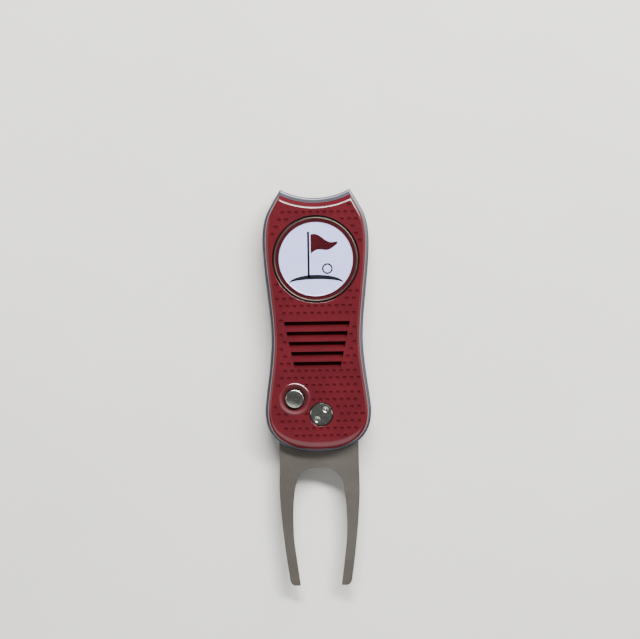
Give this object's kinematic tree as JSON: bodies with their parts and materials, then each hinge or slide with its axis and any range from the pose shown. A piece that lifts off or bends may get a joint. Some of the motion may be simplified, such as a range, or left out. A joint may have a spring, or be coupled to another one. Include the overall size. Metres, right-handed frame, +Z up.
{
  "type": "divot repair tool",
  "caption": "Folding golf divot repair tool with a sprung two-tine fork, push-button release, dimpled covers with louvres and a lift-off magnetic ball marker.",
  "frame": {"origin": "on the surface that the tool lies on, under the middle of the whole tool with its fork open", "axes": "+X across the handle to the right, +Y along the tool from the fork's tips towards the marker end, +Z up out of the front"},
  "size_m": [0.032, 0.119, 0.0128],
  "materials": {
    "cover_plastic": "dark red moulded plastic, satin, small dimples",
    "frame_metal": "satin grey, edges slightly broken",
    "fork_steel": "warm grey satin steel",
    "polished_nickel": "bright nickel plate",
    "hardware_steel": "plain zinc-plated steel",
    "bushing_bronze": "sintered bronze",
    "magnet_nickel": "nickel-plated magnet",
    "marker_metal": "grey-bronze plated steel",
    "enamel_red": "dark red enamel",
    "enamel_white": "white enamel"
  },
  "bodies": {
    "handle": {"front_cover": "cover_plastic", "back_cover": "cover_plastic", "front_plate": "frame_metal", "back_plate": "frame_metal", "spine_spacer": "frame_metal", "stop_pin": "hardware_steel", "cover_screw_1": "hardware_steel", "cover_screw_2": "hardware_steel", "cover_screw_3": "hardware_steel", "cover_screw_4": "hardware_steel", "seat_magnet": "magnet_nickel", "pivot_screw": "polished_nickel", "pivot_sleeve": "hardware_steel", "back_washer": "bushing_bronze", "front_washer": "bushing_bronze", "torsion_spring": "hardware_steel", "button_spring": "hardware_steel"},
    "fork": {"fork": "fork_steel", "pivot_bush": "bushing_bronze"},
    "button": {"button_cap": "polished_nickel", "lock_plunger": "hardware_steel"},
    "marker": {"marker_body": "marker_metal", "marker_front_ring": "enamel_red", "marker_front_face": "enamel_white", "marker_back_ring": "enamel_red", "marker_back_face": "enamel_white"}
  },
  "joints": [
    {"name": "fork_pivot", "type": "hinge", "parent": "handle", "child": "fork", "pos_m": [0.0009, -0.00785, 0.0059], "axis": [0, 0, 1], "range_deg": [0, 180], "stiffness_Nm_per_rad": 0.0015, "deforming": ["torsion_spring"]},
    {"name": "release_button", "type": "slide", "parent": "handle", "child": "button", "axis": [0, 0, -1], "range_m": [0, 0.0011], "stiffness_N_per_m": 600, "springref_m": -0.002, "deforming": ["button_spring"]},
    {"name": "marker_lift", "type": "slide", "parent": "handle", "child": "marker", "axis": [0, 0, 1], "range_m": [0, 0.02]}
  ]
}
